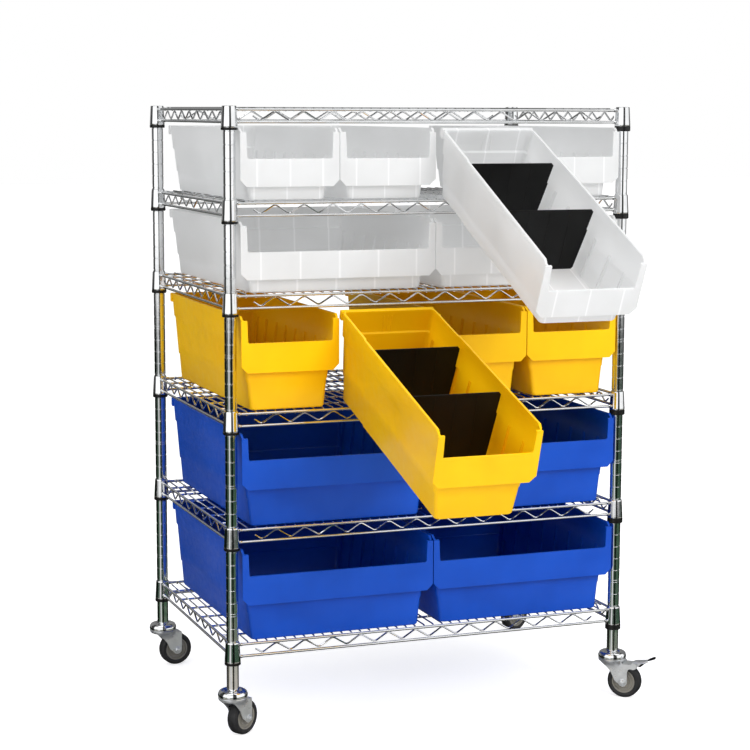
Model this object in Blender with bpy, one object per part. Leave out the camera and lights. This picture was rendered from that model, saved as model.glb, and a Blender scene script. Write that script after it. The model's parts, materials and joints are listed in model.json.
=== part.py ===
"""Wire shelf cart with hopper bins: four grooved posts on stem casters, six wire shelves and fourteen bins.

Metres, +Z up, floor at Z = 0. +X runs along the width, -Y is the open front where the bins pull out.
The whole assembly hangs from the empty "cart", which is moved at the end so that the middle of the
model's footprint lies on the origin.
"""

import math

import bmesh
import bpy
from mathutils import Matrix, Vector

# ---------------------------------------------------------------- frame
POST_SPAN_X = 0.883  # between post centres, for a shelf 36 in wide
POST_SPAN_Y = 0.578  # between post centres, for a shelf 24 in deep
POST_RADIUS = 0.0127
POST_WALL = 0.0014
POST_BOTTOM = 0.101
POST_TOP = 1.3042
POST_SIDES = 16
GROOVE_PITCH = 0.02689

CAP_FLANGE = 0.0022
CAP_PLUG_DEPTH = 0.016

BOTTOM_DECK = 0.2018  # upper surface of the lowest shelf
SHELF_GROOVES = (0, 9, 18, 27, 34, 41)  # grooves from the lowest shelf up to each shelf

COLLAR_RADIUS = 0.0162
COLLAR_BORE = 0.01346
COLLAR_HEIGHT = 0.0466
COLLAR_SIDES = 12
DECK_THICKNESS = 0.0035
DECK_OPENINGS = 10
DECK_BAR = 0.006
TRUSS_HEIGHT = 0.0364
TRUSS_THICKNESS = 0.006
TRUSS_RAIL = 0.0065
TRUSS_WEB = 0.005
TRUSS_CELLS_X = 7
TRUSS_CELLS_Y = 5
POST_CLEARANCE = 0.020  # how far the deck stays back from a post's centre lines

# ---------------------------------------------------------------- bins
COLUMN_PITCH = 0.2125
COLUMN_GAP = 0.002
BIN_LENGTH = 0.575
BIN_FRONT = -0.308  # where the lip of a stored bin stands
BIN_WALL = 0.003
BIN_TAPER = 0.025  # how far each side leans in from the top to the floor
BIN_REST_GAP = 0.0005
LIP_RECESS = 0.022
LIP_PLATE = 0.004
LIP_CHAMFER = 0.010
FLANGE_WIDTH = 0.012
FRONT_CHAMFER = 0.012
HOOK_DEPTH = 0.012
HOOK_HEIGHT = 0.020
REAR_STEP = 0.006
REAR_STEP_DROP = 0.052
REAR_LEAN = 0.012
# height, underside of the lip, top of the lip
BIN_SIZES = {"low": (0.146, 0.028, 0.084), "tall": (0.196, 0.080, 0.141)}

DIVIDER_THICKNESS = 0.0025
DIVIDER_PLAY = 0.0008
DIVIDER_BELOW_RIM = 0.010

# shelf that carries the row counted from the bottom, bin size, columns taken by each bin, row name
BIN_ROWS = (
    (4, "low", 1, "row1_clear_bin"),
    (3, "low", 2, "row2_clear_bin"),
    (2, "tall", 1, "row3_yellow_bin"),
    (1, "tall", 2, "row4_blue_bin"),
    (0, "tall", 2, "row5_blue_bin"),
)
# tilted bins: tilt in degrees, length still inside the front edge, divider places from the bin's rear
HANGING = {
    "row1_clear_bin_3": (25.0, 0.037, (0.150, 0.352)),
    "row3_yellow_bin_2": (17.6, 0.058, (0.185, 0.400)),
}
PIVOT_FRONT = 0.006  # the tilt axis stands this far in front of the front posts' centre line

# ---------------------------------------------------------------- casters
WHEEL_RADIUS = 0.0375
TYRE_WIDTH = 0.025
TYRE_SIDES = 20
TRAIL = 0.030
HUB_RADIUS = 0.0262
HUB_WIDTH = 0.021
HUB_BOSS = 0.0295
HUB_BORE = 0.0046
RUNNING_GAP = 0.0004
AXLE_RADIUS = 0.0040
FORK_INNER = 0.0158  # half the space between the legs
FORK_SHEET = 0.0024
FORK_TOP = 0.0785
RACE_RADIUS = 0.031
RACE_GAP_Z = 0.0880
STEM_RADIUS = 0.0105
STEM_LENGTH = 0.060
PEDAL_AXIS = (0.0545, 0.0750)  # distance behind the stem and height
PEDAL_HALF_WIDTH = 0.0125
# post, heading of the trailing wheel in degrees from +X, braked or not
CASTERS = (
    ("front_left", -1, -1, 33.0, False),
    ("rear_left", -1, 1, 6.0, False),
    ("front_right", 1, -1, -45.0, True),
    ("rear_right", 1, 1, 20.0, True),
)

MATERIALS = {
    "chrome": ((0.72, 0.73, 0.74), 0.18, 1.0),
    "zinc": ((0.62, 0.64, 0.66), 0.35, 1.0),
    "clear": ((0.86, 0.87, 0.87), 0.30, 0.0),
    "yellow": ((1.0, 0.70, 0.02), 0.38, 0.0),
    "blue": ((0.02, 0.10, 0.60), 0.36, 0.0),
    "black_plastic": ((0.015, 0.015, 0.015), 0.45, 0.0),
    "hub_plastic": ((0.42, 0.39, 0.34), 0.5, 0.0),
    "rubber": ((0.06, 0.06, 0.065), 0.6, 0.0),
}


# ---------------------------------------------------------------- helpers
def clear_scene():
    for item in list(bpy.data.objects):
        bpy.data.objects.remove(item, do_unlink=True)


def material(name):
    found = bpy.data.materials.get(name)
    if found:
        return found
    colour, roughness, metallic = MATERIALS[name]
    made = bpy.data.materials.new(name)
    made.use_nodes = True
    shader = made.node_tree.nodes["Principled BSDF"]
    shader.inputs["Base Color"].default_value = (*colour, 1.0)
    shader.inputs["Roughness"].default_value = roughness
    shader.inputs["Metallic"].default_value = metallic
    return made


def empty(name, location, parent=None, rotation_z=0.0, rotation_x=0.0):
    made = bpy.data.objects.new(name, None)
    bpy.context.collection.objects.link(made)
    made.location = location
    made.rotation_euler = (rotation_x, 0.0, rotation_z)
    made.parent = parent
    return made


def place(name, mesh, finish, parent, location=(0.0, 0.0, 0.0), round_piece=False):
    """One named node: the mesh gets its finish and hangs from its parent."""
    if not mesh.materials:
        mesh.materials.append(material(finish))
    if round_piece:
        mesh.shade_smooth()
        mesh.set_sharp_from_angle(angle=math.radians(40))
    made = bpy.data.objects.new(name, mesh)
    bpy.context.collection.objects.link(made)
    made.parent = parent
    made.location = location
    return made


def finished(name, shape):
    """A mesh from a bmesh, with its faces pointing out."""
    bmesh.ops.recalc_face_normals(shape, faces=shape.faces)
    mesh = bpy.data.meshes.new(name)
    shape.to_mesh(mesh)
    shape.free()
    return mesh


def turned(name, profile, sides, turn=0.0):
    """A closed (radius, height) outline turned about Z. A point of radius 0 closes on the axis."""
    shape = bmesh.new()
    rings = []
    for radius, height in profile:
        if radius == 0.0:
            rings.append([shape.verts.new((0.0, 0.0, height))] * sides)
            continue
        angles = [turn + 2 * math.pi * step / sides for step in range(sides)]
        rings.append([shape.verts.new((radius * math.cos(a), radius * math.sin(a), height)) for a in angles])
    for ring, after in zip(rings, rings[1:] + rings[:1]):
        for step in range(sides):
            around = (step + 1) % sides
            corners = []
            for corner in (ring[step], ring[around], after[around], after[step]):
                if corner not in corners:
                    corners.append(corner)
            if len(corners) > 2:
                shape.faces.new(corners)
    return finished(name, shape)


def prism(name, outline, point_at):
    """A closed solid between two copies of an outline; point_at(side, a, b) gives a corner, side -1 or 1."""
    shape = bmesh.new()
    near = [shape.verts.new(point_at(-1, a, b)) for a, b in outline]
    far = [shape.verts.new(point_at(1, a, b)) for a, b in outline]
    shape.faces.new(near)
    shape.faces.new(far)
    count = len(outline)
    for step in range(count):
        after = (step + 1) % count
        shape.faces.new((near[step], near[after], far[after], far[step]))
    return finished(name, shape)


def plate(name, loops, thickness):
    """A flat plate in XY with holes: the first loop is its outline. Its middle lies at Z = 0."""
    curve = bpy.data.curves.new(name, "CURVE")
    curve.dimensions = "2D"
    curve.fill_mode = "BOTH"
    curve.extrude = thickness / 2
    for loop in loops:
        spline = curve.splines.new("POLY")
        spline.points.add(len(loop) - 1)
        for point, (x, y) in zip(spline.points, loop):
            point.co = (x, y, 0.0, 1.0)
        spline.use_cyclic_u = True
    guide = bpy.data.objects.new(name, curve)
    bpy.context.collection.objects.link(guide)
    mesh = bpy.data.meshes.new_from_object(guide.evaluated_get(bpy.context.evaluated_depsgraph_get()))
    bpy.data.objects.remove(guide, do_unlink=True)
    shape = bmesh.new()
    shape.from_mesh(mesh)
    bmesh.ops.remove_doubles(shape, verts=shape.verts, dist=1e-6)
    return finished(name, shape)


def combined(mesh, operation, tools):
    """The mesh after a Boolean with each tool mesh in turn."""
    base = bpy.data.objects.new("base", mesh)
    bpy.context.collection.objects.link(base)
    for tool_mesh in tools:
        tool = bpy.data.objects.new("tool", tool_mesh)
        bpy.context.collection.objects.link(tool)
        step = base.modifiers.new("step", "BOOLEAN")
        step.operation = operation
        step.object = tool
        depsgraph = bpy.context.evaluated_depsgraph_get()
        base.data = bpy.data.meshes.new_from_object(base.evaluated_get(depsgraph))
        base.modifiers.clear()
        bpy.data.objects.remove(tool, do_unlink=True)
    result = base.data
    bpy.data.objects.remove(base, do_unlink=True)
    return result


def simplified(mesh):
    """The same solid with flat neighbouring faces joined."""
    shape = bmesh.new()
    shape.from_mesh(mesh)
    bmesh.ops.remove_doubles(shape, verts=shape.verts, dist=1e-6)
    bmesh.ops.dissolve_limit(shape, angle_limit=math.radians(0.2), verts=shape.verts, edges=shape.edges)
    return finished(mesh.name, shape)


def moved(mesh, matrix):
    made = mesh.copy()
    made.transform(matrix)
    return made


def rectangle(low_x, low_y, high_x, high_y):
    return [(low_x, low_y), (high_x, low_y), (high_x, high_y), (low_x, high_y)]


# ---------------------------------------------------------------- posts and caps
def post_mesh():
    bore = POST_RADIUS - POST_WALL
    profile = [(POST_RADIUS, POST_BOTTOM), (POST_RADIUS, POST_TOP), (bore, POST_TOP), (bore, POST_BOTTOM)]
    return turned("post", profile, POST_SIDES)


def cap_mesh():
    plug = POST_RADIUS - POST_WALL - 0.0006
    low = POST_TOP + 0.0003
    profile = [
        (0.0, low - CAP_PLUG_DEPTH),
        (plug, low - CAP_PLUG_DEPTH),
        (plug, low),
        (POST_RADIUS - 0.0002, low),
        (POST_RADIUS - 0.0012, low + CAP_FLANGE),
        (0.0, low + CAP_FLANGE),
    ]
    return turned("post_cap", profile, 12)


# ---------------------------------------------------------------- shelves
def zigzag_panel(name, length, cells):
    """An upright truss panel along X: two rails joined by a zigzag, with a three-cornered hole per cell."""
    low, high = -TRUSS_HEIGHT, -0.0008
    inner_low, inner_high = low + TRUSS_RAIL, high - TRUSS_RAIL
    half = length / 2
    pitch = length / (cells + 1)
    holes = []
    for cell in range(cells):
        middle = -half + (cell + 1) * pitch
        wide = pitch - TRUSS_WEB
        foot, tip = (inner_low, inner_high) if cell % 2 == 0 else (inner_high, inner_low)
        holes.append([(middle - wide, foot), (middle + wide, foot), (middle, tip)])
    mesh = plate(name, [rectangle(-half, low, half, high)] + holes, TRUSS_THICKNESS)
    return moved(mesh, Matrix.Rotation(math.radians(90), 4, "X"))


def deck_plate():
    """The deck: a notched outline that keeps clear of the posts, and long openings between its bars."""
    inner_x = POST_SPAN_X / 2 - POST_CLEARANCE
    outer_x = POST_SPAN_X / 2 + 0.001
    inner_y = POST_SPAN_Y / 2 - POST_CLEARANCE
    outer_y = POST_SPAN_Y / 2 + 0.001
    outline = [
        (-inner_x, -outer_y), (inner_x, -outer_y), (inner_x, -inner_y), (outer_x, -inner_y),
        (outer_x, inner_y), (inner_x, inner_y), (inner_x, outer_y), (-inner_x, outer_y),
        (-inner_x, inner_y), (-outer_x, inner_y), (-outer_x, -inner_y), (-inner_x, -inner_y),
    ]
    pitch = 2 * inner_x / DECK_OPENINGS
    reach = outer_y - DECK_BAR
    holes = []
    for number in range(DECK_OPENINGS):
        left = -inner_x + number * pitch
        holes.append(rectangle(left + DECK_BAR / 2, -reach, left + pitch - DECK_BAR / 2, reach))
    mesh = plate("deck", [outline] + holes, DECK_THICKNESS)
    return moved(mesh, Matrix.Translation((0.0, 0.0, -DECK_THICKNESS / 2)))


def shelf_mesh():
    """One welded shelf: deck, four truss panels and four collars. Its deck surface lies at Z = 0."""
    half_x, half_y = POST_SPAN_X / 2, POST_SPAN_Y / 2
    weld = (COLLAR_BORE + COLLAR_RADIUS) / 2
    long_panel = zigzag_panel("long_truss", POST_SPAN_X - 2 * weld, TRUSS_CELLS_X)
    short_panel = zigzag_panel("short_truss", POST_SPAN_Y - 2 * weld, TRUSS_CELLS_Y)
    quarter = Matrix.Rotation(math.radians(90), 4, "Z")
    pieces = [moved(long_panel, Matrix.Translation((0.0, side * half_y, 0.0))) for side in (-1, 1)]
    pieces += [moved(short_panel, Matrix.Translation((side * half_x, 0.0, 0.0)) @ quarter) for side in (-1, 1)]
    collar = turned(
        "collar",
        [(COLLAR_RADIUS, -COLLAR_HEIGHT), (COLLAR_RADIUS, 0.0), (COLLAR_BORE, 0.0), (COLLAR_BORE, -COLLAR_HEIGHT)],
        COLLAR_SIDES,
        math.pi / COLLAR_SIDES,
    )
    for side_x in (-1, 1):
        for side_y in (-1, 1):
            pieces.append(moved(collar, Matrix.Translation((side_x * half_x, side_y * half_y, 0.0))))
    return simplified(combined(deck_plate(), "UNION", pieces))


# ---------------------------------------------------------------- bins
def half_width(width, height, level):
    """Half the outer width of a bin at a level above its floor."""
    return width / 2 - BIN_TAPER * (1 - level / height)


def bin_mesh(width, size):
    """A hopper bin: Y = 0 at its lip, Z = 0 at its floor, centred on X."""
    height, lip_low, lip_top = BIN_SIZES[size]
    skin = LIP_PLATE / 2
    rear_upper = BIN_LENGTH - HOOK_DEPTH
    rear_lower = rear_upper - REAR_STEP
    rear_floor = rear_lower - REAR_LEAN
    outer = [
        (LIP_RECESS, 0.0),
        (LIP_RECESS, lip_low),
        (skin, lip_low + 0.002),
        (skin, height - FRONT_CHAMFER),
        (skin + FRONT_CHAMFER, height),
        (BIN_LENGTH, height),
        (BIN_LENGTH, height - HOOK_HEIGHT),
        (rear_upper, height - HOOK_HEIGHT - 0.004),
        (rear_upper, height - REAR_STEP_DROP),
        (rear_lower, height - REAR_STEP_DROP - 0.004),
        (rear_floor, 0.0),
    ]
    wall = BIN_WALL
    inner = [
        (LIP_RECESS + wall, wall),
        (LIP_RECESS + wall, lip_low + wall),
        (skin + wall, lip_low + 0.002 + wall),
        (skin + wall, lip_top),
        (-0.01, lip_top),
        (-0.01, height + 0.01),
        (rear_upper - wall, height + 0.01),
        (rear_upper - wall, height - REAR_STEP_DROP),
        (rear_lower - wall, height - REAR_STEP_DROP - 0.004),
        (rear_floor - wall, wall),
    ]

    def outer_corner(side, y, z):
        return side * half_width(width, height, z), y, z

    def inner_corner(side, y, z):
        return side * (half_width(width, height, z) - wall), y, z

    shell = combined(prism("shell", outer, outer_corner), "DIFFERENCE", [prism("space", inner, inner_corner)])

    half = width / 2
    inside = half - FLANGE_WIDTH
    flange_top = height - FRONT_CHAMFER + 0.003
    frame_outline = [
        (-half + LIP_CHAMFER, lip_low), (half - LIP_CHAMFER, lip_low), (half, lip_low + LIP_CHAMFER),
        (half, flange_top), (inside, flange_top), (inside, lip_top),
        (-inside, lip_top), (-inside, flange_top), (-half, flange_top), (-half, lip_low + LIP_CHAMFER),
    ]

    def frame_corner(side, x, z):
        return x, LIP_PLATE / 2 * (1 + side), z

    return simplified(combined(shell, "UNION", [prism("lip", frame_outline, frame_corner)]))


def divider_mesh(width, size):
    """A loose cross divider standing on the bin's floor, centred on Y = 0."""
    height = BIN_SIZES[size][0]
    low = BIN_WALL + BIN_REST_GAP
    high = height - DIVIDER_BELOW_RIM
    narrow = half_width(width, height, low) - BIN_WALL - DIVIDER_PLAY
    wide = half_width(width, height, high) - BIN_WALL - DIVIDER_PLAY
    outline = [(-narrow, low), (narrow, low), (wide, high), (-wide, high)]

    def corner(side, x, z):
        return x, side * DIVIDER_THICKNESS / 2, z

    return prism("divider", outline, corner)


def deck_height(shelf):
    return BOTTOM_DECK + SHELF_GROOVES[shelf] * GROOVE_PITCH


def column_centre(first, columns):
    """Middle of a bin that takes this many of the four columns, from column number first."""
    return (first + columns / 2 - 2) * COLUMN_PITCH


def add_bins(cart):
    meshes = {}
    for shelf, size, columns, row in BIN_ROWS:
        width = columns * COLUMN_PITCH - COLUMN_GAP
        finish = row.split("_")[1]
        if (size, columns, finish) not in meshes:
            meshes[size, columns, finish] = bin_mesh(width, size)
        mesh = meshes[size, columns, finish]
        for number in range(4 // columns):
            name = f"{row}_{number + 1}"
            x = column_centre(number * columns, columns)
            z = deck_height(shelf) + BIN_REST_GAP
            if name not in HANGING:
                place(name, mesh, finish, cart, (x, BIN_FRONT, z))
                continue
            tilt, inside, divider_places = HANGING[name]
            pivot_y = -POST_SPAN_Y / 2 - PIVOT_FRONT
            pivot = empty(name + "_tilt_axis", (x, pivot_y, z), cart, rotation_x=math.radians(tilt))
            place(name, mesh, finish, pivot, (0.0, inside - BIN_LENGTH, 0.0))
            for order, from_rear in enumerate(divider_places):
                divider = divider_mesh(width, size)
                place(f"{row[:4]}_divider_{order + 1}", divider, "black_plastic", pivot,
                      (0.0, inside - from_rear, 0.0))


# ---------------------------------------------------------------- casters
def stem_mesh():
    """The fixed part of a caster: a plug that fills the foot of the post, and the domed upper race."""
    top = POST_BOTTOM + STEM_LENGTH
    foot = POST_BOTTOM - 0.0003
    profile = [
        (0.0, RACE_GAP_Z + RUNNING_GAP),
        (RACE_RADIUS, RACE_GAP_Z + RUNNING_GAP),
        (RACE_RADIUS - 0.003, RACE_GAP_Z + 0.007),
        (RACE_RADIUS - 0.012, foot),
        (STEM_RADIUS, foot),
        (STEM_RADIUS, top),
        (0.0, top),
    ]
    return turned("caster_stem", profile, 14)


def fork_mesh(braked):
    """Lower race, top plate and two legs, with holes for the axle and, if braked, the pedal's pin ears."""
    race = turned(
        "race",
        [(0.0, FORK_TOP - 0.001), (RACE_RADIUS - 0.006, FORK_TOP - 0.001), (RACE_RADIUS, FORK_TOP + 0.005),
         (RACE_RADIUS, RACE_GAP_Z), (0.0, RACE_GAP_Z)],
        14,
    )
    rear = TRAIL + 0.011
    into_leg = FORK_INNER + FORK_SHEET / 2
    top_plate = moved(
        plate("top", [rectangle(-0.024, -into_leg, rear, into_leg)], FORK_SHEET),
        Matrix.Translation((0.0, 0.0, FORK_TOP - FORK_SHEET / 2)),
    )
    leg_top = FORK_TOP - 0.0008
    ear = [(PEDAL_AXIS[0] + 0.007, leg_top), (PEDAL_AXIS[0] + 0.008, PEDAL_AXIS[1] - 0.005),
           (PEDAL_AXIS[0], PEDAL_AXIS[1] - 0.008)] if braked else [(rear + 0.001, leg_top)]
    leg_outline = [(-0.026, leg_top), (-0.026, FORK_TOP - 0.006), (TRAIL - 0.008, 0.030), (TRAIL, 0.0265),
                   (TRAIL + 0.008, 0.030), (TRAIL + 0.010, 0.056)] + ear[::-1]
    legs = []
    for side in (-1, 1):
        middle = side * (FORK_INNER + FORK_SHEET / 2)

        def corner(face, x, z, middle=middle):
            return x, middle + face * FORK_SHEET / 2, z

        legs.append(prism("leg", leg_outline, corner))
    body = combined(race, "UNION", [top_plate] + legs)
    hole = moved(
        turned("hole", [(0.0, -0.03), (HUB_BORE, -0.03), (HUB_BORE, 0.03), (0.0, 0.03)], 12),
        Matrix.Translation((TRAIL, 0.0, WHEEL_RADIUS)) @ Matrix.Rotation(math.radians(90), 4, "X"),
    )
    return simplified(combined(body, "DIFFERENCE", [hole]))


def axle_mesh():
    """The wheel bolt along Y, with its head on one side and its nut on the other."""
    face = FORK_INNER + FORK_SHEET + 0.0003
    profile = [(0.0, -face - 0.005), (0.0062, -face - 0.005), (0.0072, -face), (AXLE_RADIUS, -face),
               (AXLE_RADIUS, face), (0.0070, face), (0.0070, face + 0.0045), (0.0, face + 0.0060)]
    return moved(turned("axle", profile, 6), Matrix.Rotation(math.radians(90), 4, "X"))


def hub_mesh():
    half, boss = HUB_WIDTH / 2, HUB_BOSS / 2
    profile = [(HUB_BORE, -boss), (0.009, -boss), (0.0105, -half + 0.003), (0.022, -half + 0.003),
               (HUB_RADIUS, -half), (HUB_RADIUS, half), (0.022, half - 0.003), (0.0105, half - 0.003),
               (0.009, boss), (HUB_BORE, boss)]
    return moved(turned("hub", profile, 12), Matrix.Rotation(math.radians(90), 4, "X"))


def tyre_mesh():
    """The tyre, with a flat of its outline facing the floor."""
    half = TYRE_WIDTH / 2
    to_corner = 1 / math.cos(math.pi / TYRE_SIDES)
    outer = WHEEL_RADIUS * to_corner
    inner = (HUB_RADIUS + 0.0003) * to_corner
    profile = [(inner, -half + 0.001), (outer - 0.004, -half), (outer, -half + 0.004), (outer, half - 0.004),
               (outer - 0.004, half), (inner, half - 0.001)]
    upright = Matrix.Rotation(math.radians(90), 4, "X")
    return moved(turned("tyre", profile, TYRE_SIDES, math.pi / 2 + math.pi / TYRE_SIDES), upright)


def pedal_outline():
    """Side view of the brake lever, from its pin towards its tip, about the pin."""
    return [(-0.004, -0.004), (0.004, -0.005), (0.009, 0.003), (0.0310, 0.0130), (0.0300, 0.0160),
            (0.008, 0.0100), (-0.004, 0.0090), (-0.006, 0.003)]


def pedal_tip_outline():
    return [(0.0316, 0.0120), (0.0440, 0.0175), (0.0450, 0.0215), (0.0420, 0.0225), (0.0304, 0.0175)]


def lever(name, outline, half):
    def corner(side, x, z):
        return x, side * half, z

    return prism(name, outline, corner)


def add_casters(cart):
    stem, axle, hub, tyre = stem_mesh(), axle_mesh(), hub_mesh(), tyre_mesh()
    forks = {braked: fork_mesh(braked) for braked in (False, True)}
    pedal = lever("pedal", pedal_outline(), PEDAL_HALF_WIDTH)
    tip = lever("tip", pedal_tip_outline(), PEDAL_HALF_WIDTH + 0.001)
    for corner, side_x, side_y, heading, braked in CASTERS:
        foot = (side_x * POST_SPAN_X / 2, side_y * POST_SPAN_Y / 2, 0.0)
        place(f"caster_stem_{corner}", stem, "chrome", cart, foot, round_piece=True)
        swivel = empty(f"swivel_axis_{corner}", foot, cart, rotation_z=math.radians(heading))
        place(f"caster_fork_{corner}", forks[braked], "zinc", swivel)
        wheel = empty(f"wheel_axis_{corner}", (TRAIL, 0.0, WHEEL_RADIUS), swivel)
        place(f"wheel_bolt_{corner}", axle, "zinc", wheel)
        place(f"wheel_hub_{corner}", hub, "hub_plastic", wheel, round_piece=True)
        place(f"wheel_tyre_{corner}", tyre, "rubber", wheel, round_piece=True)
        if braked:
            pin = empty(f"pedal_axis_{corner}", (PEDAL_AXIS[0], 0.0, PEDAL_AXIS[1]), swivel)
            place(f"brake_pedal_{corner}", pedal, "zinc", pin)
            place(f"brake_pedal_tip_{corner}", tip, "black_plastic", pin)


# ---------------------------------------------------------------- assembly
def add_posts(cart):
    post, cap = post_mesh(), cap_mesh()
    for corner, side_x, side_y, _, _ in CASTERS:
        foot = (side_x * POST_SPAN_X / 2, side_y * POST_SPAN_Y / 2, 0.0)
        place(f"post_{corner}", post, "chrome", cart, foot, round_piece=True)
        place(f"post_cap_{corner}", cap, "chrome", cart, foot, round_piece=True)


def add_shelves(cart):
    shelf = shelf_mesh()
    for number in range(len(SHELF_GROOVES)):
        place(f"wire_shelf_{number + 1}", shelf, "chrome", cart, (0.0, 0.0, deck_height(number)))


def centre_footprint(cart):
    """Moves the cart so that the middle of its bounding box, seen from above, is on the origin."""
    bpy.context.view_layer.update()
    corners = [
        item.matrix_world @ vertex.co
        for item in bpy.data.objects
        if item.type == "MESH"
        for vertex in item.data.vertices
    ]
    for axis in (0, 1):
        values = [corner[axis] for corner in corners]
        cart.location[axis] = -(min(values) + max(values)) / 2
    bpy.context.view_layer.update()


def main():
    clear_scene()
    cart = empty("cart", Vector((0.0, 0.0, 0.0)))
    add_posts(cart)
    add_shelves(cart)
    add_bins(cart)
    add_casters(cart)
    centre_footprint(cart)


main()
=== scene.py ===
"""Looks of the wire shelf cart: chrome wire shelves on grooved posts, hopper bins and stem casters.

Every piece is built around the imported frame, in metres, +Z up, with -Y the open front.
"""

import json
import math

import bmesh
import bpy
from mathutils import Matrix, Vector


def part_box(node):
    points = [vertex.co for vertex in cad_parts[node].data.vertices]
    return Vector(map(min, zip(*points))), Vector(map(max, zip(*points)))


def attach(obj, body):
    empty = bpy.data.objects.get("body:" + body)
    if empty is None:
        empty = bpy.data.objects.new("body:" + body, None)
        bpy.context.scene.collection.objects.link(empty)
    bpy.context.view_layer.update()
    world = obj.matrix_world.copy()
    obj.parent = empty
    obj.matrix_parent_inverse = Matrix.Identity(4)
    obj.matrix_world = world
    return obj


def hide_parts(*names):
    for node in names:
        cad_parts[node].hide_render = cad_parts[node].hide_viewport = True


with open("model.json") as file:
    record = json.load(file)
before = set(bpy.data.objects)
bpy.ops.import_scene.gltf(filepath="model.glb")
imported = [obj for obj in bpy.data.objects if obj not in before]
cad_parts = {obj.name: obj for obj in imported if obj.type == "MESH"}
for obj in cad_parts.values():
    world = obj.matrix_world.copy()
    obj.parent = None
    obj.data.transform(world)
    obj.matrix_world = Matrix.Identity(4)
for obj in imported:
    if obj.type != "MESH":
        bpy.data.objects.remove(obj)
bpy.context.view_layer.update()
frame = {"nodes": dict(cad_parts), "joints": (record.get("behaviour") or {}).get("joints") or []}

# ---- places read from the frame
CORNERS = ("front_left", "rear_left", "front_right", "rear_right")
JOINTS = {joint["name"]: joint for joint in frame["joints"]}
ROOT = "cart"


def middle(node):
    low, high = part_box(node)
    return (low + high) / 2


POSTS = {corner: middle(f"post_{corner}") for corner in CORNERS}
LEFT, RIGHT = POSTS["front_left"].x, POSTS["front_right"].x
FRONT, REAR = POSTS["front_left"].y, POSTS["rear_left"].y
MIDDLE_X, MIDDLE_Y = (LEFT + RIGHT) / 2, (FRONT + REAR) / 2
HALF_X, HALF_Y = (RIGHT - LEFT) / 2, (REAR - FRONT) / 2
POST_LOW, POST_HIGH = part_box("post_front_left")
POST_RADIUS = (POST_HIGH.x - POST_LOW.x) / 2
DECKS = [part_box(f"wire_shelf_{number + 1}")[1].z for number in range(6)]

# ---- wire shelves
PERIMETER_RADIUS = 0.0029
UPPER_WIRE_DROP = 0.0052  # centre of the upper perimeter wire below the deck surface
LOWER_WIRE_DROP = 0.0306
ZIGZAG_RADIUS = 0.0019
ZIGZAG_PITCH = 0.0626
ZIGZAG_TOP = 0.0082  # upper and lower bends of the truss below the deck surface
ZIGZAG_BOTTOM = 0.0276
HOOK_REACH = 0.0145  # the half bend at each end of a truss
HOOK_TOP = 0.0180
FRONT_BENDS = 13  # lower bends of the trusses along the front and along a side
SIDE_BENDS = 9
SIDE_MARGIN = 0.094  # length of a side that its trusses leave free
WIRE_INSET = 0.0134  # where perimeter wires start, from the middle of the post
DECK_WIRE_RADIUS = 0.0017
DECK_WIRES = 42
CROSS_RODS = 6
CROSS_ROD_RADIUS = 0.0024
COLLAR_TOP_RADIUS = 0.0146
COLLAR_FOOT_RADIUS = 0.0168
COLLAR_RISE = 0.0022  # the collars' top above the deck surface
SLEEVE_MIDDLE = 0.0436  # middle of the sleeve's visible ring below the deck, and the ring's own height
SLEEVE_RING = {"front_left": 0.0052, "rear_left": 0.0068, "front_right": 0.0110, "rear_right": 0.0085}

# ---- posts
GROOVE_PITCH = 0.02689
GROOVE_FIRST = 0.21  # first groove above the lowest deck, in pitches
GROOVE_WIDTH = 0.0026
GROOVE_DEPTH = 0.0007
DOUBLE_EVERY = 10  # one groove in so many is a pair, beginning with the one numbered DOUBLE_OFFSET
DOUBLE_OFFSET = 2
DOUBLE_GAP = 0.0050
POST_SIDES = 28

# ---- bins
BIN_LENGTH = 0.575
WALL = 0.003
RIM = 0.0048
TAPER = 0.025  # how far each side leans in from the rim to the floor
STEP = 0.0015  # each of the two mould steps in the sides
LOWER_STEP = 0.30  # height of the lower step, as a share of the bin's height
UPPER_STEP = 0.052  # the upper step's distance below the rim
REAR_NOTCH = 0.0020  # the rear stretch of each side is this much narrower
REAR_NOTCH_LENGTH = 0.155
LIP_RECESS = 0.022  # how far the front wall below the lip stands back
LIP_PLATE = 0.004
LIP_CHAMFER = 0.013
FLANGE = 0.0135  # width of the upright strip at each side of the open front
FRONT_CHAMFER = 0.012
HOOK_DEPTH = 0.012  # the rolled grip along the top of the rear wall
HOOK_HEIGHT = 0.020
REAR_LEAN = 0.006  # how far the rear wall leans out from the floor to the upper step
REAR_STEP = 0.004
REAR_FLARE = 0.007  # at floor level the sides lean in less at the rear, by this much
SLOT_GROUPS = 8  # pairs of ribs on each side that hold a divider
WIDE_BIN = 0.3  # bins wider than this are the wide ones
BIN_SIZES = {"low": (0.146, 0.028, 0.084), "tall": (0.196, 0.080, 0.141)}  # height, lip's foot, lip's top
SIZE_OF_ROW = {"row1": "low", "row2": "low", "row3": "tall", "row4": "tall", "row5": "tall"}
# length of a tipped bin still on its shelf
INSIDE_EDGE = {"row1_clear_bin_3": 0.037, "row3_yellow_bin_2": 0.058}
# the bin that a row's dividers stand in, and their distances from its rear end
DIVIDERS = {
    "row1_divider": ("row1_clear_bin_3", (0.150, 0.352)),
    "row3_divider": ("row3_yellow_bin_2", (0.185, 0.400)),
}
DIVIDER_THICKNESS = 0.0022

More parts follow.
